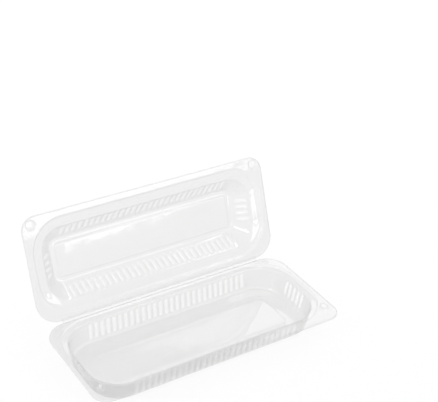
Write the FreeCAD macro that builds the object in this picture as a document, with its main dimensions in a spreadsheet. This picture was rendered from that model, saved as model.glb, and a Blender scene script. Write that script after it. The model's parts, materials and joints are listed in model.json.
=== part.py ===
"""Clear hinged pack, thermoformed from one sheet: a deep tray and a fluted lid on a living hinge.

Both halves are drawn as they leave the mould, side by side and open end up: the hinge runs along X
at Y = 0, the half reaches away from it along +Y, its rim is the plane Z = 0 and its hollow hangs below.
The tray is then turned about Z to face the user, and the lid is stood up about the hinge.
"""
import FreeCAD, Part
import Sketcher
import math
import os

SIZES = {
    "pack_length": 240.0,
    "sheet_gauge": 0.45,
    "running_gap": 0.3,
    "open_angle": 112.0,
    "front_corner": 13.0,
    "hinge_corner": 20.0,
    "lip_drop": 1.8,
    "bead_radius": 0.75,
    "lug_radius": 3.4,
    "lug_rise": 2.2,
    "lug_draft": 0.6,
    "lug_side_inset": 8.5,
    "lug_front_inset": 7.0,
    "lug_gap": 0.4,
    "flute_pitch": 5.8,
    "flute_root": 4.0,
    "flute_crest": 2.2,
    "flute_relief": 1.1,
    "flute_margin": 1.2,
    "tray_width": 106.0,
    "tray_depth": 22.0,
    "tray_side_rim": 4.5,
    "tray_front_rim": 8.0,
    "tray_hinge_rim": 1.5,
    "tray_corner": 34.0,
    "tray_shoulder_drop": 2.5,
    "tray_shoulder_run": 0.8,
    "tray_ledge_drop": 0.5,
    "tray_ledge_run": 5.0,
    "tray_wall_run": 3.0,
    "tray_foot_drop": 1.5,
    "tray_foot_run": 1.2,
    "lid_width": 96.0,
    "lid_depth": 20.0,
    "lid_side_rim": 6.0,
    "lid_front_rim": 6.0,
    "lid_hinge_rim": 6.0,
    "lid_corner": 30.0,
    "lid_shoulder_drop": 4.0,
    "lid_shoulder_run": 1.0,
    "lid_ledge_drop": 1.0,
    "lid_ledge_run": 8.0,
    "lid_wall_run": 11.0,
    "lid_foot_drop": 2.0,
    "lid_foot_run": 2.0,
    "lid_panel_inset": 5.0,
    "lid_panel_rise": 1.2,
}


class Size:
    """A length with its number and the expression over the sheet that gives it."""

    def __init__(self, text, value):
        self.text = text
        self.value = value

    def _join(self, sign, other, value):
        other_text = other.text if isinstance(other, Size) else str(other)
        return Size(f"({self.text} {sign} {other_text})", value)

    def __add__(self, other):
        return self._join("+", other, self.value + number(other))

    def __sub__(self, other):
        return self._join("-", other, self.value - number(other))

    def __mul__(self, other):
        return self._join("*", other, self.value * number(other))

    def __truediv__(self, other):
        return self._join("/", other, self.value / number(other))

    def __neg__(self):
        return Size(f"(-1 * {self.text})", -self.value)


def number(size):
    """The plain number of a Size or of a number."""
    return size.value if isinstance(size, Size) else size


def whole(size):
    """The size rounded down to a whole number."""
    return Size(f"floor({size.text})", math.floor(size.value))


document = FreeCAD.newDocument("hinged_pack")
sheet = document.addObject("Spreadsheet::Sheet", "sizes")
for row, (alias, length) in enumerate(SIZES.items(), start=1):
    sheet.set(f"A{row}", alias.replace("_", " "))
    sheet.set(f"B{row}", str(length))
    sheet.setAlias(f"B{row}", alias)
document.recompute()


def size(alias):
    """The Size of one cell of the sheet."""
    return Size(f"sizes.{alias}", SIZES[alias])


GAUGE = size("sheet_gauge")
ZERO = GAUGE * 0
HINGE_RISE = size("running_gap") / 2

# The levels of a half from its mouth down, as indexes of Half.levels.
MOUTH, SHOULDER_FOOT, WALL_TOP, WALL_FOOT, FLOOR = range(5)

# In gauges: how deep a flute is rooted in the wall, and how far inside it the form of the groove starts.
FLUTE_SEAT = 0.5
GROOVE_REACH = 3

# Point numbers in a sketch: a line's start and end, and a circle's centre. The origin is point 1 of item -1.
START, END, CENTRE = 1, 2, 3
SKETCH_ORIGIN = (-1, 1)


def bind(item, path, length):
    """Tie a property to the sheet."""
    setattr(item, path, length.value)
    item.setExpression(path, length.text)


def origin_item(body, role):
    """The plane or axis of the body's origin that has this role."""
    return next(item for item in body.Origin.OriginFeatures if item.Role == role)


def attach(item, body, role, height):
    """Lay a sketch or a plane parallel to one of the body's origin planes, at the given height over it."""
    item.AttachmentSupport = [(origin_item(body, role), "")]
    item.MapMode = "FlatFace"
    item.AttachmentOffset = FreeCAD.Placement(FreeCAD.Vector(0, 0, height.value), FreeCAD.Rotation())
    item.setExpression("AttachmentOffset.Base.z", height.text)


def plane_sketch(body, name, height, role="XY_Plane"):
    """An empty sketch at the given height over one of the body's origin planes."""
    sketch = body.newObject("Sketcher::SketchObject", name)
    attach(sketch, body, role, height)
    return sketch


def fix(sketch, kind, references, length):
    """Add a dimension to the sketch and tie it to the sheet."""
    index = sketch.addConstraint(Sketcher.Constraint(kind, *references, length.value))
    sketch.setExpression(f"Constraints[{index}]", length.text)


def fix_point(sketch, geometry, end, along, across):
    """Place one end of a line, or the centre of a circle, by its two coordinates."""
    fix(sketch, "DistanceX", (*SKETCH_ORIGIN, geometry, end), along)
    fix(sketch, "DistanceY", (*SKETCH_ORIGIN, geometry, end), across)


def draw_polygon(sketch, corners):
    """Closed polygon through corners given as pairs of sizes."""
    points = [FreeCAD.Vector(x.value, y.value, 0) for x, y in corners]
    for start, end in zip(points, points[1:] + points[:1]):
        sketch.addGeometry(Part.LineSegment(start, end))
    for index, (x, y) in enumerate(corners):
        previous = (index - 1) % len(corners)
        sketch.addConstraint(Sketcher.Constraint("Coincident", previous, END, index, START))
        fix_point(sketch, index, START, x, y)


def draw_rounded(sketch, half_length, near, far, near_corner, far_corner):
    """Rectangle centred on Y, from near to far, with its own corner radius at each end."""
    right, low, high = half_length.value, near.value, far.value
    small, large = near_corner.value, far_corner.value
    lines = [
        ((-right + small, low), (right - small, low)), ((right, low + small), (right, high - large)),
        ((right - large, high), (-right + large, high)), ((-right, high - large), (-right, low + small)),
    ]
    centres = [
        (right - small, low + small, small), (right - large, high - large, large),
        (-right + large, high - large, large), (-right + small, low + small, small),
    ]
    axis = FreeCAD.Vector(0, 0, 1)
    quarter = math.pi / 2
    for side, ((start, end), (x, y, radius)) in enumerate(zip(lines, centres)):
        sketch.addGeometry(Part.LineSegment(FreeCAD.Vector(*start, 0), FreeCAD.Vector(*end, 0)))
        circle = Part.Circle(FreeCAD.Vector(x, y, 0), axis, radius)
        sketch.addGeometry(Part.ArcOfCircle(circle, (side - 1) * quarter, side * quarter))
    bottom, right_side, top, left_side = (2 * side for side in range(len(lines)))
    pieces = 2 * len(lines)
    for index in range(pieces):
        sketch.addConstraint(Sketcher.Constraint("Tangent", index, END, (index + 1) % pieces, START))
    for line in (bottom, top):
        sketch.addConstraint(Sketcher.Constraint("Horizontal", line))
    for line in (right_side, left_side):
        sketch.addConstraint(Sketcher.Constraint("Vertical", line))
    fix(sketch, "DistanceX", (*SKETCH_ORIGIN, right_side, START), half_length)
    fix(sketch, "DistanceX", (left_side, START, *SKETCH_ORIGIN), half_length)
    fix(sketch, "DistanceY", (*SKETCH_ORIGIN, bottom, START), near)
    fix(sketch, "DistanceY", (*SKETCH_ORIGIN, top, START), far)
    corners = ((bottom, near_corner), (right_side, far_corner), (top, far_corner), (left_side, near_corner))
    for line, radius in corners:
        fix(sketch, "Radius", (line + 1,), radius)


def draw_circle(sketch, along, across, radius):
    """Circle at a place given by two sizes."""
    centre = FreeCAD.Vector(along.value, across.value, 0)
    index = sketch.addGeometry(Part.Circle(centre, FreeCAD.Vector(0, 0, 1), radius.value))
    fix_point(sketch, index, CENTRE, along, across)
    fix(sketch, "Radius", (index,), radius)


def extrude(body, kind, name, sketch, length, reverse):
    """Pad or pocket of a sketch, along its normal or against it."""
    feature = body.newObject(kind, name)
    feature.Profile = sketch
    feature.Reversed = reverse
    feature.Refine = False
    bind(feature, "Length", length)
    return feature


def loft(body, kind, name, sketches):
    """Straight-walled loft through the sketches."""
    feature = body.newObject(kind, name)
    feature.Profile = sketches[0]
    feature.Sections = sketches[1:]
    feature.Ruled = True
    feature.Refine = False
    return feature


class Half:
    """One half of the pack as it leaves the mould, with its sizes read from the sheet by name."""

    def __init__(self, name, start):
        self.name = name
        self.start = start
        self.body = document.addObject("PartDesign::Body", name)
        self.body.Label = name
        self.width = self.own("width")
        self.depth = self.own("depth")
        self.corner = self.own("corner")
        self.half_length = size("pack_length") / 2
        shoulder = self.own("shoulder_drop")
        ledge = shoulder + self.own("ledge_drop")
        heights = [ZERO, -shoulder, -ledge, self.own("foot_drop") - self.depth, -self.depth]
        insets = [ZERO]
        for part in ("shoulder_run", "ledge_run", "wall_run", "foot_run"):
            insets.append(insets[-1] + self.own(part))
        self.levels = list(zip(heights, insets))

    def own(self, part):
        """A size of this half."""
        return size(f"{self.name}_{part}")

    def cavity_section(self, name, height, inset):
        """Rounded section of the hollow, drawn in from the mouth by the inset."""
        sketch = plane_sketch(self.body, name, height)
        draw_rounded(
            sketch,
            self.half_length - self.own("side_rim") - inset,
            self.own("hinge_rim") + inset,
            self.width - self.own("front_rim") - inset,
            self.corner - inset,
            self.corner - inset,
        )
        return sketch

    def rim(self):
        """Flat rim with its edge turned down on the three free sides."""
        back, front = size("hinge_corner"), size("front_corner")
        outline = plane_sketch(self.body, "rim_outline", ZERO)
        draw_rounded(outline, self.half_length, self.start, self.width, back, front)
        extrude(self.body, "PartDesign::Pad", "rim", outline, size("lip_drop"), reverse=True)
        hollow = plane_sketch(self.body, "rim_hollow_outline", -size("lip_drop"))
        corner = front - GAUGE
        draw_rounded(hollow, self.half_length - GAUGE, -back, self.width - GAUGE, corner, corner)
        extrude(self.body, "PartDesign::Pocket", "rim_hollow", hollow, size("lip_drop") - GAUGE, reverse=True)

    def hollow(self):
        """Shoulder, ledge, wall and foot: one loft outside, and one a sheet's gauge inside it."""
        outer, inner = [], []
        for index, (height, inset) in enumerate(self.levels):
            lift = ZERO if index == MOUTH else GAUGE
            outer.append(self.cavity_section(f"outer_{index}", height, inset))
            inner.append(self.cavity_section(f"inner_{index}", height + lift, inset + GAUGE))
        loft(self.body, "PartDesign::AdditiveLoft", "outer_form", outer)
        loft(self.body, "PartDesign::SubtractiveLoft", "inner_form", inner)

    def panel(self):
        """Raised centre of the floor, inside a flat ring."""
        inset = self.levels[FLOOR][1] + self.own("panel_inset")
        step = self.cavity_section("panel_outline", GAUGE - self.depth, inset)
        extrude(self.body, "PartDesign::Pad", "panel", step, self.own("panel_rise"), reverse=False)
        recess = self.cavity_section("panel_recess_outline", -self.depth, inset + GAUGE)
        extrude(self.body, "PartDesign::Pocket", "panel_recess", recess, self.own("panel_rise"), reverse=True)

    def wall_place(self, height):
        """Inset of the fluted wall's outer face at a height."""
        (top, top_inset), (bottom, bottom_inset) = self.levels[WALL_TOP], self.levels[WALL_FOOT]
        return top_inset + (top - height) * ((bottom_inset - top_inset) / (top - bottom))

    def flute_section(self, name, height, wall, first, hollow):
        """Trapezium of a flute or its groove at a height, on the wall given by its mouth and its axis."""
        mouth, axis = wall
        skin = GAUGE if hollow else ZERO
        wall_line = mouth - self.wall_place(height)
        root_line = wall_line - GAUGE * (GROOVE_REACH if hollow else FLUTE_SEAT)
        crest_line = wall_line + size("flute_relief") - skin
        root = (size("flute_root") - skin) / 2
        crest = (size("flute_crest") - skin) / 2
        corners = [
            (first - root, root_line), (first + root, root_line),
            (first + crest, crest_line), (first - crest, crest_line),
        ]
        if axis == "Y_Axis":
            corners = [(across, along) for along, across in corners]
        sketch = plane_sketch(self.body, name, height)
        draw_polygon(sketch, corners)
        return sketch

    def flutes(self, place, mouth, axis, low, high, mirror):
        """Outward flutes along the straight of one wall, from low to high, and on the wall facing it."""
        room = high - low - size("flute_root")
        gaps = whole(room / size("flute_pitch"))
        first = (low + high) / 2 - gaps * size("flute_pitch") / 2
        top = self.levels[WALL_TOP][0] - size("flute_margin")
        bottom = self.levels[WALL_FOOT][0] + size("flute_margin")
        wall = (mouth, axis)
        flute = [
            self.flute_section(f"{place}_flute_top", top, wall, first, hollow=False),
            self.flute_section(f"{place}_flute_bottom", bottom, wall, first, hollow=False),
        ]
        groove = [
            self.flute_section(f"{place}_groove_top", top, wall, first, hollow=True),
            self.flute_section(f"{place}_groove_bottom", bottom + GAUGE, wall, first, hollow=True),
        ]
        forms = [
            loft(self.body, "PartDesign::AdditiveLoft", f"{place}_flute", flute),
            loft(self.body, "PartDesign::SubtractiveLoft", f"{place}_groove", groove),
        ]
        rows = self.body.newObject("PartDesign::MultiTransform", f"{place}_flutes")
        rows.Originals = forms
        rows.Refine = False
        row = self.body.newObject("PartDesign::LinearPattern", f"{place}_row")
        row.Direction = (origin_item(self.body, axis), [""])
        bind(row, "Length", gaps * size("flute_pitch"))
        row.Occurrences = int(gaps.value) + 1
        row.setExpression("Occurrences", f"{gaps.text} + 1")
        facing = self.body.newObject("PartDesign::Mirrored", f"{place}_facing")
        facing.MirrorPlane = (mirror, [""])
        rows.Transformations = [row, facing]
        self.body.Tip = rows

    def all_flutes(self):
        """Flutes on the two short walls, then on the two long ones."""
        near = self.own("hinge_rim")
        far = self.width - self.own("front_rim")
        side = self.half_length - self.own("side_rim")
        middle = self.body.newObject("PartDesign::Plane", "cavity_middle")
        attach(middle, self.body, "XZ_Plane", -(near + far) / 2)
        end_plane = origin_item(self.body, "YZ_Plane")
        self.flutes("side", side, "Y_Axis", near + self.corner, far - self.corner, end_plane)
        self.flutes("front", far, "X_Axis", self.corner - side, side - self.corner, middle)

    def lug_form(self, kind, name, ends):
        """Drafted round form through the given heights and radii, as far from the hinge on either half."""
        circles = []
        for index, (height, radius) in enumerate(ends):
            sketch = plane_sketch(self.body, f"{name}_{index}", height)
            across = size("lid_width") - size("lug_front_inset")
            draw_circle(sketch, self.half_length - size("lug_side_inset"), across, radius)
            circles.append(sketch)
        return loft(self.body, kind, name, circles)

    def lugs(self, outside, inside):
        """Hollow lug given by the ends of its outside and of its inside, on both front corners."""
        forms = [
            self.lug_form("PartDesign::AdditiveLoft", "lug", outside),
            self.lug_form("PartDesign::SubtractiveLoft", "lug_hollow", inside),
        ]
        pair = self.body.newObject("PartDesign::Mirrored", "lug_pair")
        pair.Originals = forms
        pair.MirrorPlane = (origin_item(self.body, "YZ_Plane"), [""])
        pair.Refine = False
        self.body.Tip = pair


def make_tray():
    """Deep half: it carries the hinge bead and the two raised lugs."""
    tray = Half("tray", size("bead_radius") / 2)
    tray.rim()
    tray.hollow()
    bead_half = tray.half_length - size("hinge_corner")
    bead = plane_sketch(tray.body, "bead_outline", -bead_half, role="YZ_Plane")
    draw_circle(bead, ZERO, HINGE_RISE, size("bead_radius"))
    extrude(tray.body, "PartDesign::Pad", "hinge_bead", bead, bead_half * 2, reverse=False)
    foot = size("lug_radius")
    top = foot - size("lug_draft")
    rise = size("lug_rise")
    tray.lugs(
        outside=((-GAUGE / 2, foot), (rise, top)),
        inside=((-GAUGE, foot - GAUGE), (rise - GAUGE, top - GAUGE)),
    )
    tray.all_flutes()
    return tray


def make_lid():
    """Shallow half with sloping fluted walls, and sockets that drop over the tray's lugs."""
    lid = Half("lid", size("bead_radius") + size("running_gap"))
    lid.rim()
    lid.hollow()
    lid.panel()
    foot = size("lug_radius") + size("lug_gap")
    top = foot - size("lug_draft")
    rise = size("lug_rise") + size("lug_gap")
    lid.lugs(
        outside=((-GAUGE / 2, foot + GAUGE), (-rise - GAUGE, top + GAUGE)),
        inside=((ZERO, foot), (-rise, top)),
    )
    lid.all_flutes()
    return lid


def place_halves(tray, lid):
    """Stand the tray on its foot with the origin under its middle, and the lid open on the hinge."""
    foot_middle = (tray.own("hinge_rim") + tray.width - tray.own("front_rim")) / 2
    hinge = FreeCAD.Vector(0, foot_middle.value, tray.depth.value + HINGE_RISE.value)
    rise = FreeCAD.Vector(0, 0, HINGE_RISE.value)
    turns = (
        (tray, FreeCAD.Rotation(FreeCAD.Vector(0, 0, 1), 180)),
        (lid, FreeCAD.Rotation(FreeCAD.Vector(1, 0, 0), 180 - SIZES["open_angle"])),
    )
    for half, turn in turns:
        half.body.Placement = FreeCAD.Placement(hinge - turn.multVec(rise), turn)


def check_and_write(halves):
    """Stop on any failed object or bad solid, then write one file for each half."""
    for item in document.Objects:
        if "Invalid" in item.State or "Error" in item.State:
            raise RuntimeError(f"{item.Label} failed: {item.State}")
    os.makedirs("parts", exist_ok=True)
    for half in halves:
        shape = half.body.Shape
        if shape.isNull() or not shape.isValid() or len(shape.Solids) != 1:
            raise RuntimeError(f"{half.name} is not one valid solid")
        shape.exportStep(f"parts/{half.body.Label}.step")
        print(f"{half.name}: {shape.Volume:.0f} mm3, centre {shape.Solids[0].CenterOfMass}")


tray = make_tray()
lid = make_lid()
place_halves(tray, lid)
document.recompute()
check_and_write([tray, lid])
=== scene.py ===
"""Dresses a clear hinged pack: two halves and the hinge between them, all of one thermoformed PET sheet.

A half is worked out as it leaves the mould, in millimetres: the hinge runs along X at Y = 0, the half
reaches away along +Y, its rim is the plane Z = 0 and its hollow hangs below. The grid is the film's upper
face, and a wall under it gives the gauge. The tray is then turned to face the user, and the lid is stood up
about the hinge.
"""
import json
import logging
import math
from dataclasses import dataclass, field
from enum import Enum
from typing import Any, Sequence

import bmesh
import bpy
import numpy as np
from mathutils import Matrix


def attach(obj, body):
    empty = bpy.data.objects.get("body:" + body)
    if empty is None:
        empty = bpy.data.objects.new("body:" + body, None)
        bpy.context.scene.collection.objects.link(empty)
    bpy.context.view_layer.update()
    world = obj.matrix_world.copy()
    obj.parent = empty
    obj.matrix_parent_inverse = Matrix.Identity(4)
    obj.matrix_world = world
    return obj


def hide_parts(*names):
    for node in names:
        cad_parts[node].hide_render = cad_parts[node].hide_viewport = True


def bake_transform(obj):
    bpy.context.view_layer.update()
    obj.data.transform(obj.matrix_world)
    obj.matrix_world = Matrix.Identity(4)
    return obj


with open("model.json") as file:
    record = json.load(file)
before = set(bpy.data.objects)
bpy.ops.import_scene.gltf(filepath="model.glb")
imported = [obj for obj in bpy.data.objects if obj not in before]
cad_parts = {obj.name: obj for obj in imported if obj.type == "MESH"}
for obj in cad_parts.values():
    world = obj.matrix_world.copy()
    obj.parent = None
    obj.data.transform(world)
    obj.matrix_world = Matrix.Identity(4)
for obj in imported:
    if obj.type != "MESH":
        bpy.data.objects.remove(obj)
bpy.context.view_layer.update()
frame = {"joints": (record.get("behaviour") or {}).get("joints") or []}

log = logging.getLogger("clear_pack")

MM = 0.001

# Sizes that both halves share, in millimetres.
GAUGE = 0.45
LENGTH = 240.0
RUNNING_GAP = 0.3
FRONT_CORNER = 13.0
HINGE_CORNER = 20.0
BEAD_RADIUS = 0.75
LIP_DROP = 1.8
LEAST_LIP_SHARE = 0.05

# A normal this near to an axis belongs to a straight run; points this near, in metres, are one point.
SQUARE_ON = 1 - 1e-9
WELD_DISTANCE = 1e-7

# Blender's Mix node keeps its two colours and its colour result in these sockets.
MIX_COLOURS = (6, 7)
MIX_RESULT = 2

HINGE = frame["joints"][0]
HINGE_PLACE = np.array(HINGE["pos_m"])
OPEN_DEGREES = HINGE["range_deg"][1]


def linear(colour: str) -> tuple[float, float, float, float]:
    """Turn an sRGB hex colour to linear light: each channel through the sRGB curve.

    Args:
        colour: six hex digits after a #.

    Returns:
        Linear red, green, blue and an alpha of one.
    """
    channels = [int(colour[at:at + 2], 16) / 255 for at in (1, 3, 5)]
    return (*(c / 12.92 if c <= 0.04045 else ((c + 0.055) / 1.055) ** 2.4 for c in channels), 1.0)


def eased(share: np.ndarray) -> np.ndarray:
    """Smooth step: 0 below 0, 1 above 1, and 3t^2 - 2t^3 between."""
    held = np.clip(share, 0.0, 1.0)
    return held * held * (3 - 2 * held)


def turned_about_x(points: np.ndarray, degrees: float) -> np.ndarray:
    """Points turned about the X axis through the origin: Y and Z by the plane rotation."""
    c, s = math.cos(math.radians(degrees)), math.sin(math.radians(degrees))
    return points @ np.array([[1, 0, 0], [0, c, s], [0, -s, c]])


class Body(Enum):
    """The pack's two bodies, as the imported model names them."""

    TRAY = "tray"
    LID = "lid"


@dataclass(frozen=True)
class Samples:
    """Points of a loop on each stretch, the same at every level, so that loops join point to point."""

    long_side: int = 200
    short_side: int = 36
    front_corner: int = 44
    hinge_corner: int = 22


@dataclass(frozen=True)
class Loop:
    """Rounded rectangle centred on Y, run anticlockwise seen from above from its hinge side's left end."""

    half_length: float
    near: float
    far: float
    near_radius: float
    far_radius: float

    def points(self, samples: Samples) -> tuple[np.ndarray, np.ndarray]:
        """Places and outward normals: runs by even shares, corners by even angles about their centres.

        Args:
            samples: number of points on each stretch.

        Returns:
            Two arrays of pairs.
        """
        right, low, high = self.half_length, self.near, self.far
        small, large = self.near_radius, self.far_radius
        runs = (
            ((-right + small, low), (right - small, low), samples.long_side, -90),
            ((right, low + small), (right, high - large), samples.short_side, 0),
            ((right - large, high), (-right + large, high), samples.long_side, 90),
            ((-right, high - large), (-right, low + small), samples.short_side, 180),
        )
        corners = (
            ((right - small, low + small), small, samples.hinge_corner),
            ((right - large, high - large), large, samples.front_corner),
            ((-right + large, high - large), large, samples.front_corner),
            ((-right + small, low + small), small, samples.hinge_corner),
        )
        places, normals = [], []
        for (start, end, count, heading), (centre, radius, corner_count) in zip(runs, corners):
            share = np.arange(count)[:, None] / count
            places.append(np.array(start) * (1 - share) + np.array(end) * share)
            facing = math.radians(heading)
            normals.append(np.tile([math.cos(facing), math.sin(facing)], (count, 1)))
            angle = facing + math.pi / 2 * np.arange(corner_count) / corner_count
            out = np.stack([np.cos(angle), np.sin(angle)], axis=1)
            places.append(np.array(centre) + radius * out)
            normals.append(out)
        return np.concatenate(places), np.concatenate(normals)


@dataclass(frozen=True)
class Bend:
    """A corner of a half's profile: how far in from the mouth, how high, and the radius it is bent to."""

    inset: float
    height: float
    radius: float
    run_steps: int
    arc_steps: int = 3


def bent_profile(bends: Sequence[Bend]) -> np.ndarray:
    """Profile through the bends, with an arc in place of each inner corner.

    The arc is tangent to both runs. Its points are the two end radii mixed by the sines of the angles that
    are left, which keeps them on the circle.

    Args:
        bends: the corners in order; the first and the last are plain ends.

    Returns:
        Array of pairs, inset and height.
    """
    places = np.array([(bend.inset, bend.height) for bend in bends])
    profile = [places[:1]]
    for before, place, after, bend in zip(places, places[1:], places[2:], bends[1:]):
        back, on = before - place, after - place
        back, on = back / np.linalg.norm(back), on / np.linalg.norm(on)
        half = math.acos(np.clip(back @ on, -1, 1)) / 2
        sweep = math.pi - 2 * half
        start = place + back * bend.radius / math.tan(half)
        end = place + on * bend.radius / math.tan(half)
        middle = place + (back + on) / np.linalg.norm(back + on) * bend.radius / math.sin(half)
        share = np.linspace(0, 1, bend.run_steps + 1)[1:-1, None]
        profile.append(profile[-1][-1] * (1 - share) + start * share)
        turn = np.linspace(0, 1, bend.arc_steps + 1)[:, None]
        arc = np.sin((1 - turn) * sweep) * (start - middle) + np.sin(turn * sweep) * (end - middle)
        profile.append(middle + arc / math.sin(sweep))
    share = np.linspace(0, 1, bends[-1].run_steps + 1)[1:, None]
    profile.append(profile[-1][-1] * (1 - share) + places[-1] * share)
    return np.concatenate(profile)


@dataclass(frozen=True)
class Lug:
    """Round snap form on the front corners: a lug up from the tray's rim, a socket down from the lid's.

    Its wall comes down within `slope`, seen from above.
    """

    foot_radius: float
    rise: float
    side_inset: float = 8.5
    across: float = 89.0
    slope: float = 1.3

    def lift(self, places: np.ndarray) -> np.ndarray:
        """Height that the form adds: its rise inside the top's radius, eased to nothing at the foot's.

        Args:
            places: array whose last axis is X and Y.

        Returns:
            Heights, one for each place.
        """
        aside = np.abs(places[..., 0]) - (LENGTH / 2 - self.side_inset)
        away = np.hypot(aside, places[..., 1] - self.across)
        return self.rise * eased((self.foot_radius + self.slope / 3 - away) / self.slope)


@dataclass(frozen=True)
class Flutes:
    """Upright flutes pressed outward along the straights of the wall, spaced as in the solids."""

    pitch: float = 5.8
    root: float = 4.0
    crest: float = 2.2
    relief: float = 1.1
    end_ease: float = 2.2

    def bulge(self, along: np.ndarray, stretch: float) -> np.ndarray:
        """Share of the relief along a wall: 1 on a flute's crest, eased to 0 at its root.

        Args:
            along: distance from the middle of the wall's straight.
            stretch: length of the straight.

        Returns:
            Shares, one for each place.
        """
        gaps = math.floor((stretch - self.root) / self.pitch)
        count = along / self.pitch + gaps / 2
        away = np.abs(count - np.clip(np.round(count), 0, gaps)) * self.pitch
        return eased((self.root / 2 - away) / (self.root - self.crest) * 2)


@dataclass(frozen=True)
class Levels:
    """The grid's stations, from the lip's edge over the rim and down the wall to the floor's middle line.

    Numbers give the first station of the rounded edge, the flange, the hollow and the floor. Each array has
    one value for each station: share of the lip's drop, share of the rim's outline, inset, height and how far
    it is drawn to the middle line.
    """

    edge: int
    flange: int
    hollow: int
    floor: int
    lip: np.ndarray
    rim_share: np.ndarray
    inset: np.ndarray
    height: np.ndarray
    shrink: np.ndarray


@dataclass
class Half:
    """One half of the pack as it leaves the mould.

    It begins at `start` from the hinge's line and reaches to `width`. The rims are the flat flange's widths,
    `corner` is the radius of the hollow's mouth, and `wall` gives the heights between which the flutes run.
    """

    body: Body
    start: float
    width: float
    side_rim: float
    front_rim: float
    hinge_rim: float
    corner: float
    lug: Lug
    bends: tuple[Bend, ...]
    wall: tuple[float, float]
    samples: Samples = field(default_factory=Samples)
    flutes: Flutes = field(default_factory=Flutes)
    edge_radius: float = 0.9
    edge_steps: int = 4
    lip_steps: int = 2
    flange_steps: int = 18
    centre_steps: int = 5
    lip_fade: tuple[float, float] = (3.0, 20.0)
    shoulder_ease: float = 0.6
    # Share of the shoulder's thinning, which also paints a highlight streak along it.
    shoulder_thin_and_highlight: float = 0.9

    def mouth(self) -> Loop:
        """The hollow's mouth."""
        far = self.width - self.front_rim
        return Loop(LENGTH / 2 - self.side_rim, self.hinge_rim, far, self.corner, self.corner)

    def outline(self) -> Loop:
        """The rim's outer edge."""
        return Loop(LENGTH / 2, self.start, self.width, HINGE_CORNER, FRONT_CORNER)

    def flute_shares(self, places: np.ndarray, normals: np.ndarray) -> np.ndarray:
        """Share of the flutes' relief at each point of the mouth, on the straights of its four sides.

        Args:
            places: points of the mouth's loop.
            normals: their outward normals.

        Returns:
            One share for each point.
        """
        mouth = self.mouth()
        long_stretch = 2 * (mouth.half_length - self.corner)
        short_stretch = mouth.far - mouth.near - 2 * self.corner
        on_long = np.abs(normals[:, 1]) > SQUARE_ON
        on_short = np.abs(normals[:, 0]) > SQUARE_ON
        long_share = self.flutes.bulge(places[:, 0], long_stretch)
        short_share = self.flutes.bulge(places[:, 1] - (mouth.near + mouth.far) / 2, short_stretch)
        return on_long * long_share + on_short * short_share

    def levels(self) -> Levels:
        """Stations: even steps down the lip, an arc over its edge, even steps over the flange and the floor.

        The bent profile lies between the flange and the floor.

        Returns:
            The stations of the grid.
        """
        down = np.linspace(1, 0, self.lip_steps + 1)[:-1]
        turn = np.linspace(0, math.pi / 2, self.edge_steps + 1)
        across = np.linspace(0, 1, self.flange_steps + 1)[1:-1]
        profile = bent_profile(self.bends)
        toward = np.linspace(0, 1, self.centre_steps + 1)[1:]
        counts = [len(stretch) for stretch in (down, turn, across, profile, toward)]
        edge, flange, hollow, floor, end = np.cumsum(counts)
        return Levels(
            edge=edge, flange=flange, hollow=hollow, floor=floor,
            lip=np.concatenate([down, np.zeros(end - edge)]),
            rim_share=np.concatenate([np.ones(flange), 1 - across, np.zeros(end - hollow)]),
            inset=np.concatenate([
                np.zeros(len(down)),
                self.edge_radius * (1 - np.cos(turn)),
                self.edge_radius * (1 - across) + profile[0, 0] * across,
                profile[:, 0],
                np.full(len(toward), profile[-1, 0]),
            ]),
            height=np.concatenate([
                np.full(len(down), -self.edge_radius),
                self.edge_radius * (np.sin(turn) - 1),
                np.zeros(len(across)),
                profile[:, 1],
                np.full(len(toward), profile[-1, 1]),
            ]),
            shrink=np.concatenate([np.zeros(floor), toward]),
        )

    def fluted_levels(self, levels: Levels) -> np.ndarray:
        """Share of the flutes' relief at each station: 1 between the wall's heights, eased to 0 at both."""
        top, bottom = self.wall
        ease = self.flutes.end_ease
        shares = eased((top - levels.height) / ease) * eased((levels.height - bottom) / ease)
        shares[:levels.hollow] = 0
        return shares

    def thin_highlighted_shoulder(self, levels: Levels) -> np.ndarray:
        """How thin the shoulder is drawn at each station, which also paints a highlight streak on it: most
        between the rim and the shoulder's foot.
        """
        ease, foot = self.shoulder_ease, self.bends[2].height
        shares = eased((-levels.height - ease / 3) / ease) * eased((levels.height - foot) / ease)
        shares[:levels.flange] = 0
        return self.shoulder_thin_and_highlight * shares

    def grid(self) -> tuple[np.ndarray, np.ndarray]:
        """Upper face of the film: each station carried round the loop.

        A point is a mix of the rim's outline and the mouth, moved in along the loop's normal by the station's
        inset less the flute there. On the floor it is drawn towards the middle line. Lip, edge and flange
        stations mix from the outline to the mouth, and the snap form lifts the flange.

        Returns:
            Array of stations by loop points by X, Y and Z in millimetres, and how thin each point is drawn,
            from 0 to 1, which is most on a flute's crest, on the shoulder and on the snap form; the film also
            paints a highlight by this share.
        """
        rim, normals = self.outline().points(self.samples)
        mouth, _ = self.mouth().points(self.samples)
        levels = self.levels()
        fluted = self.fluted_levels(levels)[:, None] * self.flute_shares(mouth, normals)[None, :]

        rim_share = levels.rim_share[:, None, None]
        inset = levels.inset[:, None] - self.flutes.relief * fluted
        places = rim_share * rim + (1 - rim_share) * mouth - inset[..., None] * normals

        floor = places[levels.floor - 1]
        middle = (self.mouth().near + self.mouth().far) / 2
        reach = floor[:, 0].max() - (floor[:, 1].max() - middle)
        spine = np.stack([np.clip(floor[:, 0], -reach, reach), np.full(len(floor), middle)], axis=1)
        places = spine + (1 - levels.shrink)[:, None, None] * (places - spine)

        low, high = self.lip_fade
        fade = np.maximum(eased((rim[:, 1] - self.start - low) / (high - low)), LEAST_LIP_SHARE)
        drop = levels.lip * (LIP_DROP - self.edge_radius)
        heights = levels.height[:, None] - drop[:, None] * fade[None, :]
        on_flange = slice(levels.edge, levels.hollow + 1)
        lift = self.lug.lift(places[on_flange])
        heights[on_flange] += lift

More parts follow.
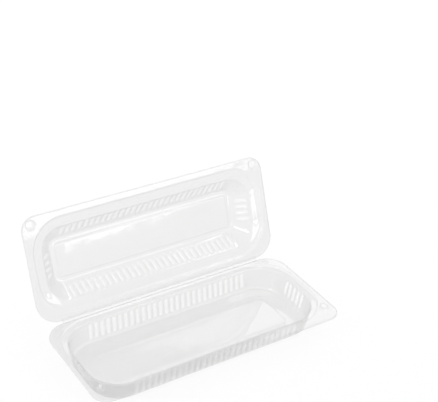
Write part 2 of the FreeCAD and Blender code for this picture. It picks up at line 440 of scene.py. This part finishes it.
        # Painted highlight: flute crests, the shoulder and the snap form get the thin-drawn share, shown as
        # white glints as well as clearer film.
        drawn = np.maximum(fluted, self.thin_highlighted_shoulder(levels)[:, None])
        drawn[on_flange] = np.maximum(drawn[on_flange], lift / self.lug.rise)
        return np.concatenate([places, heights[..., None]], axis=2), drawn

    def placed(self, points: np.ndarray) -> np.ndarray:
        """Points of the half put where it stands in the pack, in metres."""
        raise NotImplementedError

    def build(self, dress: "Film") -> bpy.types.Object:
        """Make the film of this half and let it stand for the solid.

        Args:
            dress: the film's finish.

        Returns:
            The finished piece.
        """
        grid, drawn = self.grid()
        points = self.placed(grid.reshape(-1, 3))
        name = f"{self.body.value}_film"
        piece = sheet_piece(name, points, grid.shape[:2], closed=True, drawn=drawn.ravel())
        add_gauge(piece, GAUGE)
        piece.data.materials.append(dress.material())
        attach(piece, self.body.value)
        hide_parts(self.body.value)
        return piece


@dataclass
class Tray(Half):
    """Deep half that the pack stands on."""

    def placed(self, points: np.ndarray) -> np.ndarray:
        """Turned half round about Z, with the rim just under the hinge."""
        return np.array([-1, -1, 1]) * (points - [0, 0, RUNNING_GAP / 2]) * MM + HINGE_PLACE


@dataclass
class Lid(Half):
    """Shallow half, stood open about the hinge."""

    def placed(self, points: np.ndarray) -> np.ndarray:
        """Turned up about X by what is left of half a turn."""
        return turned_about_x(points - [0, 0, RUNNING_GAP / 2], 180 - OPEN_DEGREES) * MM + HINGE_PLACE


@dataclass
class HingeCrease:
    """Creased strip of film that joins the two rims and rolls round the hinge's line.

    It lies `under_rim` below the tray's rim and as far behind the lid's, and its arc starts `meets` from the
    hinge's line.
    """

    reach: float = LENGTH / 2 - HINGE_CORNER
    gauge: float = 0.3
    under_rim: float = 0.62
    tray_run: float = 1.3
    lid_run: float = 3.2
    meets: float = 0.7
    arc_steps: int = 14
    run_steps: int = 3
    along_steps: int = 160

    def path(self) -> np.ndarray:
        """Cross-section: a run under the tray's rim, an arc about the hinge's line, a run behind the lid.

        Returns:
            Array of pairs in the plane of Y and Z, measured from the hinge's line.
        """
        lid = math.radians(180 - OPEN_DEGREES)
        along, up = np.array([math.cos(lid), math.sin(lid)]), np.array([-math.sin(lid), math.cos(lid)])
        tray_x = np.linspace(-self.tray_run, -self.meets, self.run_steps + 1)[:-1]
        tray = np.stack([tray_x, np.full(self.run_steps, -self.under_rim)], axis=1)
        radius = math.hypot(self.meets, self.under_rim)
        lean = math.atan2(self.under_rim, self.meets)
        angle = np.linspace(math.pi + lean, 2 * math.pi + lid - lean, self.arc_steps + 1)
        arc = radius * np.stack([np.cos(angle), np.sin(angle)], axis=1)
        lid_x = np.linspace(self.meets, self.lid_run, self.run_steps + 1)[1:, None]
        return np.concatenate([tray, arc, lid_x * along - self.under_rim * up])

    def build(self, dress: "Film") -> bpy.types.Object:
        """Carry the cross-section along the hinge and bend it between the two halves.

        Args:
            dress: the film's finish.

        Returns:
            The finished piece.
        """
        path = self.path()
        across = np.linspace(-self.reach, self.reach, self.along_steps + 1)
        grid = np.empty((len(path), len(across), 3))
        grid[..., 0] = -across[None, :]
        grid[..., 1:] = path[:, None, :]
        points = grid.reshape(-1, 3) * MM + HINGE_PLACE
        piece = sheet_piece("hinge_crease", points, grid.shape[:2], closed=False)
        add_gauge(piece, self.gauge)
        piece.data.materials.append(dress.material())
        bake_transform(piece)
        return piece


def sheet_piece(
    name: str, points: np.ndarray, shape: tuple[int, int], closed: bool, drawn: np.ndarray | None = None,
) -> bpy.types.Object:
    """Mesh of quads between neighbouring rows and columns of a grid, smooth shaded.

    Args:
        name: the piece's name.
        points: the grid's points, row by row, in metres.
        shape: rows and columns.
        closed: True joins the last column to the first.
        drawn: share of each point that is drawn thin, which the film also shows as a painted highlight.

    Returns:
        The object, at the origin.
    """
    rows, columns = shape
    index = np.arange(rows * columns).reshape(rows, columns)
    if closed:
        index = np.concatenate([index, index[:, :1]], axis=1)
    quads = np.stack([index[:-1, :-1], index[:-1, 1:], index[1:, 1:], index[1:, :-1]], axis=-1).reshape(-1, 4)
    mesh = bpy.data.meshes.new(name)
    mesh.from_pydata(points, [], quads)
    if drawn is not None:
        # The drawn attribute carries real thinning and a painted highlight together.
        mesh.attributes.new("drawn", "FLOAT", "POINT").data.foreach_set("value", drawn.astype(np.float32))
    weld = bmesh.new()
    weld.from_mesh(mesh)
    bmesh.ops.remove_doubles(weld, verts=weld.verts, dist=WELD_DISTANCE)
    weld.to_mesh(mesh)
    weld.free()
    mesh.shade_smooth()
    piece = bpy.data.objects.new(name, mesh)
    bpy.context.scene.collection.objects.link(piece)
    return piece


def add_gauge(piece: bpy.types.Object, gauge: float) -> None:
    """Give the sheet its wall, under the face that the grid gives.

    Args:
        piece: the sheet.
        gauge: wall in millimetres.
    """
    wall = piece.modifiers.new("gauge", "SOLIDIFY")
    wall.thickness = gauge * MM
    wall.offset = -1
    wall.use_even_offset = True
    wall.use_rim = True


def node(tree: bpy.types.NodeTree, kind: str, settings: dict[str, Any], **links: Any) -> bpy.types.Node:
    """Add a node with its settings, socket values and links.

    Args:
        tree: the tree that gets the node.
        kind: the node's type.
        settings: values by name; a name that starts with a capital is an input socket, other names are the
            node's own attributes.
        **links: output sockets by input name, with _ for a space, or by _ and the input's number.

    Returns:
        The node.
    """
    made = tree.nodes.new(kind)
    for name, value in settings.items():
        if name[0].isupper():
            made.inputs[name].default_value = value
        else:
            setattr(made, name, value)
    for name, source in links.items():
        key = int(name[1:]) if name[1:].isdigit() else name.replace("_", " ")
        tree.links.new(source, made.inputs[key])
    return made


def mixed(
    tree: bpy.types.NodeTree, share: float | bpy.types.NodeSocket, one: bpy.types.NodeSocket,
    other: bpy.types.NodeSocket,
) -> bpy.types.NodeSocket:
    """Mix two shaders.

    Args:
        tree: the tree that gets the mix.
        share: share of the second shader, as a number or a socket.
        one: the first shader.
        other: the second shader.

    Returns:
        The mix's socket.
    """
    if isinstance(share, float):
        return node(tree, "ShaderNodeMixShader", {"Fac": share}, _1=one, _2=other).outputs[0]
    return node(tree, "ShaderNodeMixShader", {}, _0=share, _1=one, _2=other).outputs[0]


def either(
    tree: bpy.types.NodeTree, one: bpy.types.NodeSocket, other: bpy.types.NodeSocket,
) -> bpy.types.NodeSocket:
    """1 where either of two sockets is 1: the larger of the two."""
    return node(tree, "ShaderNodeMath", {"operation": "MAXIMUM"}, _0=one, _1=other).outputs[0]


def empty_material(name: str) -> tuple[bpy.types.Material, bpy.types.NodeTree]:
    """A new material and its tree, with no nodes in it yet."""
    made = bpy.data.materials.new(name)
    made.use_nodes = True
    made.node_tree.nodes.clear()
    return made, made.node_tree


@dataclass(frozen=True)
class Film:
    """PET sheet drawn over a mould by vacuum: clear, glossy, a little wavy where it cooled first.

    The film lets nearly all light through with a grey cast that grows where the eye looks along it, and
    mirrors the lamps in narrow streaks. Long ripples from the draw bend the streaks, fine scuffs from
    stacking soften them, and the places that are drawn thin lose some of the cast; the same clearing paints
    white highlights on the flutes' crests, the shoulder and the snap form, beyond what thinning alone gives.
    Light on its way to the board passes more freely, so that the shadow is as faint as a clear pack's.
    """

    name: str = "pet_film_thermoformed"
    ior: float = 1.57
    face_tint: str = "#F8F8F8"
    edge_tint: str = "#D8D8D8"
    tint_blend: float = 0.1
    haze: str = "#EAEAEA"
    haze_share: float = 0.07
    haze_through: float = 0.5
    # How far thin-drawn places clear: partly the thinner film, partly a painted highlight on crests, shoulder
    # and snap form.
    thin_and_highlight_clear: float = 0.35
    light_let_on: float = 0.84
    ripple_mm: float = 16.0
    ripple_detail: float = 1.0
    ripple_rise_mm: float = 0.1
    scuff_mm: float = 2.5
    scuff_detail: float = 4.0
    scuff_band: tuple[float, float] = (0.35, 0.7)
    roughness: tuple[float, float] = (0.025, 0.08)
    mirror_power: float = 5.0

    def rippled(self, tree: bpy.types.NodeTree, place: bpy.types.NodeSocket) -> bpy.types.NodeSocket:
        """Normal that the draw's long ripples bend.

        Args:
            tree: the material's tree.
            place: the point in the pack's own frame.

        Returns:
            The normal's socket.
        """
        waves = {"Scale": 1 / (self.ripple_mm * MM), "Detail": self.ripple_detail}
        ripple = node(tree, "ShaderNodeTexNoise", waves, Vector=place)
        rise = {"Strength": 1.0, "Distance": self.ripple_rise_mm * MM}
        return node(tree, "ShaderNodeBump", rise, Height=ripple.outputs["Fac"]).outputs["Normal"]

    def scuffed(self, tree: bpy.types.NodeTree, place: bpy.types.NodeSocket) -> bpy.types.NodeSocket:
        """Roughness that fine scuffs from stacking give.

        Args:
            tree: the material's tree.
            place: the point in the pack's own frame.

        Returns:
            The roughness's socket.
        """
        marks = {"Scale": 1 / (self.scuff_mm * MM), "Detail": self.scuff_detail}
        scuff = node(tree, "ShaderNodeTexNoise", marks, Vector=place)
        (least, most), (low, high) = self.scuff_band, self.roughness
        band = {"From Min": least, "From Max": most, "To Min": low, "To Max": high}
        return node(tree, "ShaderNodeMapRange", band, Value=scuff.outputs["Fac"]).outputs["Result"]

    def cast(self, tree: bpy.types.NodeTree, normal: bpy.types.NodeSocket) -> bpy.types.NodeSocket:
        """Clear film with its grey cast, which grows where the sheet is seen along its face.

        Args:
            tree: the material's tree.
            normal: the rippled normal.

        Returns:
            The shader's socket.
        """
        along = node(tree, "ShaderNodeLayerWeight", {"Blend": self.tint_blend}, Normal=normal)
        tint = node(tree, "ShaderNodeMix", {"data_type": "RGBA"}, _0=along.outputs["Facing"])
        for socket, colour in zip(MIX_COLOURS, (self.face_tint, self.edge_tint)):
            tint.inputs[socket].default_value = linear(colour)
        return node(tree, "ShaderNodeBsdfTransparent", {}, Color=tint.outputs[MIX_RESULT]).outputs[0]

    def mirrored(self, tree: bpy.types.NodeTree, normal: bpy.types.NodeSocket) -> bpy.types.NodeSocket:
        """Share of light that a face mirrors: what it mirrors head on, and the rest by a power of the slant.

        Args:
            tree: the material's tree.
            normal: the rippled normal.

        Returns:
            The share's socket.
        """
        slant = node(tree, "ShaderNodeLayerWeight", {"Blend": 0.5}, Normal=normal)
        steep = node(tree, "ShaderNodeMath", {"operation": "POWER"}, _0=slant.outputs["Facing"])
        steep.inputs[1].default_value = self.mirror_power
        head_on = ((self.ior - 1) / (self.ior + 1)) ** 2
        share = node(tree, "ShaderNodeMapRange", {"To Min": head_on, "To Max": 1.0}, Value=steep.outputs[0])
        return share.outputs["Result"]

    def hazed(self, tree: bpy.types.NodeTree) -> bpy.types.NodeSocket:
        """Milky bloom of the sheet, part thrown back and part let through."""
        back = node(tree, "ShaderNodeBsdfDiffuse", {"Color": linear(self.haze)})
        through = node(tree, "ShaderNodeBsdfTranslucent", {"Color": linear(self.haze)})
        return mixed(tree, self.haze_through, back.outputs[0], through.outputs[0])

    def material(self) -> bpy.types.Material:
        """The finish as a material, made once and shared."""
        if self.name in bpy.data.materials:
            return bpy.data.materials[self.name]
        made, tree = empty_material(self.name)
        place = node(tree, "ShaderNodeTexCoord", {}).outputs["Object"]
        normal, rough = self.rippled(tree, place), self.scuffed(tree, place)
        white = {"Color": linear("#FFFFFF")}
        gloss = node(tree, "ShaderNodeBsdfGlossy", white, Roughness=rough, Normal=normal).outputs[0]
        bare = node(tree, "ShaderNodeBsdfTransparent", white).outputs[0]
        mirror = self.mirrored(tree, normal)
        sheet = mixed(tree, mirror, self.cast(tree, normal), gloss)
        sheet = mixed(tree, self.haze_share, sheet, self.hazed(tree))
        # Painted highlight: where the drawn share is high, the sheet mixes toward bare clear film with its
        # gloss, so flute crests, the shoulder and the snap form read as white glints; part of it is the
        # thinner film's real clearing.
        drawn = node(tree, "ShaderNodeAttribute", {"attribute_name": "drawn"})
        cleared = {"To Min": 0.0, "To Max": self.thin_and_highlight_clear}
        thin = node(tree, "ShaderNodeMapRange", cleared, Value=drawn.outputs["Fac"])
        sheet = mixed(tree, thin.outputs["Result"], sheet, mixed(tree, mirror, bare, gloss))
        path = node(tree, "ShaderNodeLightPath", {})
        unseen = either(tree, path.outputs["Is Shadow Ray"], path.outputs["Is Diffuse Ray"])
        passed = {"To Min": 0.0, "To Max": self.light_let_on}
        let_on = node(tree, "ShaderNodeMapRange", passed, Value=unseen)
        sheet = mixed(tree, let_on.outputs["Result"], sheet, bare)
        node(tree, "ShaderNodeOutputMaterial", {}, Surface=sheet)
        return made


@dataclass(frozen=True)
class Floor:
    """Plain pale board that the pack stands on, matt enough to mirror nothing."""

    name: str = "board_matt_white"
    colour: str = "#F8F8F8"
    roughness: float = 0.3
    reach: float = 4.0
    drop_mm: float = 0.1

    def build(self) -> bpy.types.Object:
        """Lay the board just under the pack."""
        corners = np.array([(-1, -1, 0), (1, -1, 0), (1, 1, 0), (-1, 1, 0)]) * self.reach
        corners[:, 2] = -self.drop_mm * MM
        board = sheet_piece("floor", corners[[0, 1, 3, 2]], (2, 2), closed=False)
        made, tree = empty_material(self.name)
        finish = {"Color": linear(self.colour), "Roughness": self.roughness}
        matt = node(tree, "ShaderNodeBsdfDiffuse", finish)
        node(tree, "ShaderNodeOutputMaterial", {}, Surface=matt.outputs[0])
        board.data.materials.append(made)
        return board


@dataclass(frozen=True)
class Lamp:
    """Soft box: where it stands, what it faces, its size in metres and its power in watts."""

    name: str
    place: tuple[float, float, float]
    size: tuple[float, float]
    power: float
    aim: tuple[float, float, float] = (0.0, 0.02, 0.03)

    def build(self) -> None:
        """Hang the soft box."""
        light = bpy.data.lights.new(self.name, "AREA")
        light.shape = "RECTANGLE"
        light.size, light.size_y = self.size
        light.energy = self.power
        lamp = bpy.data.objects.new(self.name, light)
        back = np.array(self.place) - np.array(self.aim)
        lamp.matrix_world = facing_matrix(np.array(self.place), back, 0.0)
        bpy.context.scene.collection.objects.link(lamp)


def facing_matrix(place: np.ndarray, back: np.ndarray, roll: float) -> Matrix:
    """Matrix of a lamp or camera that looks against `back`: right is level, then both axes turn by the roll.

    Args:
        place: where it stands.
        back: direction from what it looks at.
        roll: turn about the line of sight in degrees.

    Returns:
        A 4 by 4 matrix.
    """
    z = back / np.linalg.norm(back)
    x = np.cross([0, 0, 1], z)
    x = x / np.linalg.norm(x)
    y = np.cross(z, x)
    c, s = math.cos(math.radians(roll)), math.sin(math.radians(roll))
    x, y = c * x + s * y, -s * x + c * y
    return Matrix([[x[k], y[k], z[k], place[k]] for k in range(3)] + [[0, 0, 0, 1]])


@dataclass(frozen=True)
class Eye:
    """Camera at the photograph's viewing angle, with its angles in degrees."""

    azimuth: float = -34.88
    elevation: float = 31.51
    roll: float = 3.86
    distance_mm: float = 906.44
    target_mm: tuple[float, float, float] = (20.87, 3.75, 134.04)
    focal_px: float = 1106.22
    image_px: float = 438.0
    sensor_mm: float = 36.0
    nearest: float = 0.01

    def build(self) -> None:
        """Set up the camera."""
        az, el = math.radians(self.azimuth), math.radians(self.elevation)
        back = np.array([math.sin(az) * math.cos(el), -math.cos(az) * math.cos(el), math.sin(el)])
        place = (np.array(self.target_mm) + back * self.distance_mm) * MM
        camera = bpy.data.objects.new("camera", bpy.data.cameras.new("camera"))
        camera.data.sensor_fit = "HORIZONTAL"
        camera.data.sensor_width = self.sensor_mm
        camera.data.lens = self.focal_px * self.sensor_mm / self.image_px
        camera.data.clip_start = self.nearest
        camera.matrix_world = facing_matrix(place, back, self.roll)
        bpy.context.scene.collection.objects.link(camera)
        bpy.context.scene.camera = camera


@dataclass(frozen=True)
class Studio:
    """White surroundings for the eye and for reflections, and a softer level of light on the pack and floor.

    The back, left and top boxes light the set. The low one gives the streak on the lid's panel, and the rim
    one the white band along the lid's far rim.
    """

    light_level: float = 0.965
    lamps: tuple[Lamp, ...] = (
        Lamp("soft_box_back", place=(0.72, 1.08, 0.84), size=(1.0, 0.36), power=1.2),
        Lamp("soft_box_left", place=(-1.2, -0.2, 0.8), size=(0.12, 0.8), power=1.4),
        Lamp("soft_box_top", place=(0.75, 0.45, 1.4), size=(0.7, 0.2), power=1.6),
        Lamp("soft_box_low", place=(0.555, -1.21, 0.25), size=(0.25, 0.035), power=0.07),
        Lamp("soft_box_rim", place=(0.58, -1.21, 0.345), size=(0.8, 0.1), power=0.46),
    )
    see_through_depth: int = 48

    def build(self) -> None:
        """Light the set."""
        world = bpy.data.worlds.new("white_room")
        world.use_nodes = True
        tree = world.node_tree
        tree.nodes.clear()
        path = node(tree, "ShaderNodeLightPath", {})
        shown = either(tree, path.outputs["Is Camera Ray"], path.outputs["Is Glossy Ray"])
        shown = either(tree, shown, path.outputs["Is Transmission Ray"])
        lit = node(tree, "ShaderNodeBackground", {"Color": linear("#FFFFFF"), "Strength": self.light_level})
        white = node(tree, "ShaderNodeBackground", {"Color": linear("#FFFFFF"), "Strength": 1.0})
        whole = mixed(tree, shown, lit.outputs[0], white.outputs[0])
        node(tree, "ShaderNodeOutputWorld", {}, Surface=whole)
        bpy.context.scene.world = world
        for lamp in self.lamps:
            lamp.build()
        bpy.context.scene.view_settings.view_transform = "Standard"
        bpy.context.scene.cycles.transparent_max_bounces = self.see_through_depth


def tray_half() -> Tray:
    """The tray's sizes: shoulder, ledge, fluted wall, foot and a floor with a low panel."""
    return Tray(
        body=Body.TRAY, start=BEAD_RADIUS / 2, width=106.0,
        side_rim=4.5, front_rim=8.0, hinge_rim=1.5, corner=34.0,
        lug=Lug(foot_radius=3.15, rise=2.1),
        bends=(
            Bend(-0.1, 0.0, 0.0, 0),
            Bend(0.45, 0.0, 0.6, 1, 4),
            Bend(1.25, -2.05, 0.6, 2),
            Bend(6.25, -2.55, 1.2, 2, 4),
            Bend(9.25, -20.05, 1.5, 13, 4),
            Bend(10.45, -21.55, 1.2, 1),
            Bend(27.0, -21.55, 0.7, 3, 3),
            Bend(27.9, -20.85, 0.7, 1, 3),
            Bend(30.0, -20.85, 0.0, 1),
        ),
        wall=(-3.6, -19.3),
    )


def lid_half() -> Lid:
    """The lid's sizes: deep shoulder, broad ledge, sloping fluted wall, foot and a raised panel."""
    return Lid(
        body=Body.LID, start=BEAD_RADIUS + RUNNING_GAP, width=96.0,
        side_rim=6.0, front_rim=6.0, hinge_rim=6.0, corner=30.0,
        lug=Lug(foot_radius=3.95, rise=-2.7),
        bends=(
            Bend(-0.9, 0.0, 0.0, 0),
            Bend(0.45, 0.0, 1.6, 1, 5),
            Bend(1.45, -3.55, 1.4, 1, 4),
            Bend(9.45, -4.55, 1.4, 3, 4),
            Bend(20.45, -17.55, 1.6, 12, 4),
            Bend(22.45, -19.55, 1.4, 1),
            Bend(26.4, -19.55, 0.6, 1, 3),
            Bend(27.2, -18.35, 0.6, 1, 3),
            Bend(28.6, -18.35, 0.0, 1),
        ),
        wall=(-5.6, -17.0),
    )


def main() -> None:
    """Build the set and the three pieces of film, then report each."""
    logging.basicConfig(level=logging.INFO, format="%(name)s: %(message)s")
    Studio().build()
    Eye().build()
    Floor().build()
    # The deep half is drawn further than the shallow one, so its film clears more and paints stronger
    # highlights on its flutes and lugs, and the crease is pressed thin and clear.
    shallow = Film()
    deep = Film(name="pet_film_deep_drawn", thin_and_highlight_clear=0.65)
    crease = Film(
        name="pet_film_pressed_crease", face_tint="#FEFEFE", edge_tint="#DADADA", haze_share=0.03,
    )
    for part, dress in ((tray_half(), deep), (lid_half(), shallow), (HingeCrease(), crease)):
        piece = part.build(dress)
        log.info("%s: %d faces before its wall", piece.name, len(piece.data.polygons))


if __name__ == "__main__":
    main()
